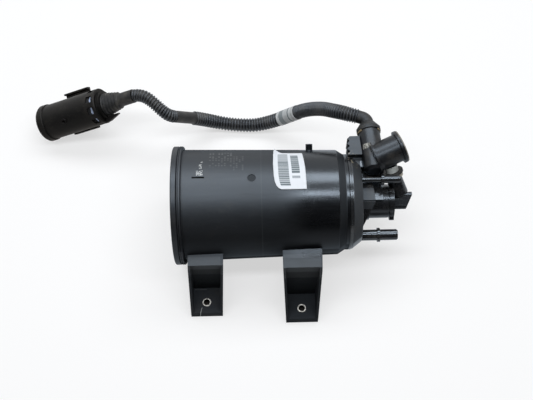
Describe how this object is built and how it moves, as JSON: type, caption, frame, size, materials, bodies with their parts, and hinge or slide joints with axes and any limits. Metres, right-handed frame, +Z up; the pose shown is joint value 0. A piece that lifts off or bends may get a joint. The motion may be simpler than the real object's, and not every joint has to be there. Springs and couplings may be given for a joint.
{
  "type": "charcoal canister",
  "caption": "Round black fuel-vapour canister on gusseted feet, with hose nipples, a vent valve and tee, and a corrugated hose to an air filter.",
  "frame": {"origin": "midway between the two foot bolts, on the face of the feet that they bolt to", "axes": "+X along the canister towards its ports, +Y from the feet across the canister, +Z up out of the mounting face"},
  "size_m": [0.4234, 0.2824, 0.1285],
  "materials": {
    "black_plastic": "satin black moulded nylon, lightly dusted",
    "head_plastic": "satin black moulded nylon with dust in its corners",
    "valve_plastic": "satin black moulded plastic",
    "clip_plastic": "matt dark grey plastic with dried dust",
    "steel": "dull zinc plated steel",
    "spring_steel": "drawn spring wire",
    "carbon": "matt black carbon pellets",
    "foam": "open grey foam",
    "seal_rubber": "matt black rubber",
    "hose_plastic": "satin black corrugated plastic tube",
    "boot_rubber": "matt black rubber",
    "pale_plastic": "pale grey plastic, slightly soiled",
    "soiled_plastic": "off-white plastic with brown dirt",
    "copper": "enamelled copper wire",
    "contact": "tinned brass",
    "bobbin_plastic": "natural nylon",
    "filter_media": "pale blue-white filter fleece"
  },
  "bodies": {
    "canister": {"canister_shell": "black_plastic", "end_cap": "black_plastic", "port_head": "head_plastic", "foot_sleeves": "steel", "return_tube": "black_plastic", "charcoal_bed": "carbon", "head_pad": "foam", "cap_pad": "foam", "support_grid": "black_plastic", "retainer_plate": "black_plastic", "bed_spring": "spring_steel", "valve_housing": "valve_plastic", "valve_o_ring": "seal_rubber", "pole_core": "steel", "coil_bobbin": "bobbin_plastic", "coil_winding": "copper", "coil_frame": "steel", "return_spring": "spring_steel", "valve_cap": "valve_plastic", "terminals": "contact", "outlet_ring": "soiled_plastic", "outlet_seal": "seal_rubber", "outlet_sleeve": "pale_plastic", "vent_tee": "valve_plastic", "port_gasket": "soiled_plastic", "tee_o_ring": "seal_rubber", "hose_elbow": "clip_plastic", "collar_retainer": "soiled_plastic", "hose_long": "hose_plastic", "hose_joiner": "boot_rubber", "hose_short": "hose_plastic", "filter_neck": "boot_rubber", "filter_housing": "black_plastic", "filter_cap": "black_plastic", "filter_element": "filter_media"},
    "plunger": {"plunger": "steel", "plunger_seal": "seal_rubber"}
  },
  "joints": [
    {"name": "plunger_slide", "type": "slide", "parent": "canister", "child": "plunger", "axis": [-1, 0, 0], "range_m": [0, 0.0025], "stiffness_N_per_m": 300, "springref_m": -0.004, "deforming": ["return_spring"]}
  ]
}
